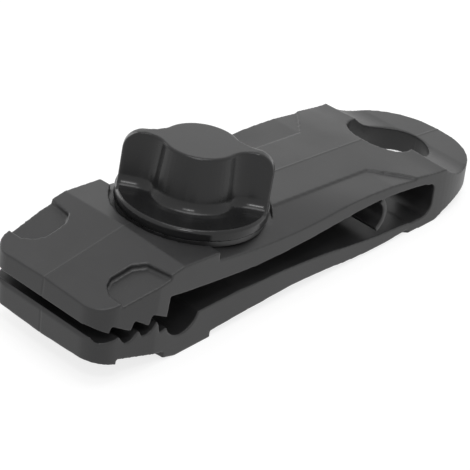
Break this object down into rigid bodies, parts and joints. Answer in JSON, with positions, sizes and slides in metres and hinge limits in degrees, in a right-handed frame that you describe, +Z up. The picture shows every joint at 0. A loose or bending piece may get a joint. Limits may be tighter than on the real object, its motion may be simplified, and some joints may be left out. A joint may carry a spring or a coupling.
{
  "type": "tarp clip",
  "caption": "Screw-closed tarp clip with toothed jaws drawn together by a winged knob, and an oblong rope eye in its tail.",
  "frame": {"origin": "on the surface the clip lies on, under the middle of its length and width", "axes": "+X from the lips towards the rope eye, +Z up towards the knob, +Y across"},
  "size_m": [0.11, 0.032, 0.0308],
  "materials": {
    "body_plastic": "matte",
    "knob_plastic": "satin",
    "washer_plastic": "matte",
    "zinc_steel": "satin"
  },
  "bodies": {
    "lower_body": {"lower_arm": "body_plastic", "tail_loop": "body_plastic"},
    "upper_jaw": {"upper_arm": "body_plastic", "spring_leaf": "body_plastic", "washer": "washer_plastic"},
    "thumb_screw": {"knob": "knob_plastic", "bolt": "zinc_steel"},
    "captive_nut": {"nut": "zinc_steel"}
  },
  "joints": [
    {"name": "jaw_flex", "type": "hinge", "parent": "lower_body", "child": "upper_jaw", "pos_m": [0.02703, 0, 0.01207], "axis": [0, 1, 0], "range_deg": [-0.8, 3]},
    {"name": "screw_spin", "type": "hinge", "parent": "upper_jaw", "child": "thumb_screw", "pos_m": [-0.01864, 0, 0.0177], "axis": [0.0924, 0, 0.9957], "range_deg": [-290, 1085]},
    {"name": "nut_tilt", "type": "hinge", "parent": "lower_body", "child": "captive_nut", "pos_m": [-0.01877, 0, 0.01632], "axis": [0, 1, 0], "range_deg": [-0.82, 3.05]}
  ],
  "couplings": [
    {"joint": "screw_spin", "follows": "jaw_flex", "ratio": 361.28},
    {"joint": "nut_tilt", "follows": "jaw_flex", "ratio": 1}
  ]
}
